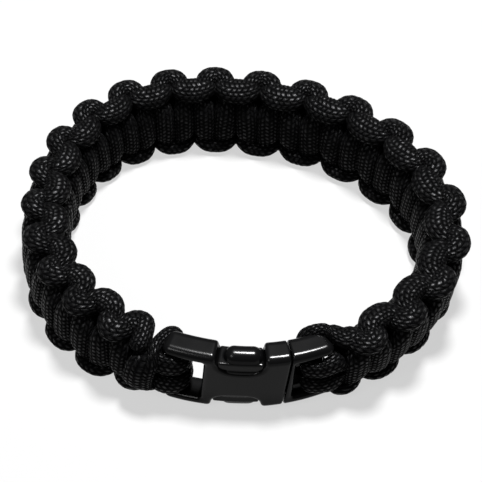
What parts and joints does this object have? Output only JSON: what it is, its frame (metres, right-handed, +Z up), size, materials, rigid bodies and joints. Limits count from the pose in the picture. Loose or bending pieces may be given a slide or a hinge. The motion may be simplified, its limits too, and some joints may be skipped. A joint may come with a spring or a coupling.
{
  "type": "paracord bracelet",
  "caption": "Closed bracelet of knotted cord with a bent side release buckle, lying on its edge with the buckle at the front",
  "frame": {"origin": "the middle of the footprint of the bracelet, on the surface that it lies on", "axes": "+Z up, across the band; -Y out through the buckle at the front; +X to the buckle's plug side"},
  "size_m": [0.0856, 0.0742, 0.0169],
  "materials": {
    "cord": "black braided nylon sheath with a slight sheen",
    "buckle_plastic": "moulded black plastic, fine matt faces and smoother rounded edges"
  },
  "bodies": {
    "root": {"buckle_socket": "buckle_plastic", "buckle_plug": "buckle_plastic", "core_cord": "cord", "outer_knot_cord": "cord", "inner_knot_cord": "cord"}
  },
  "joints": []
}
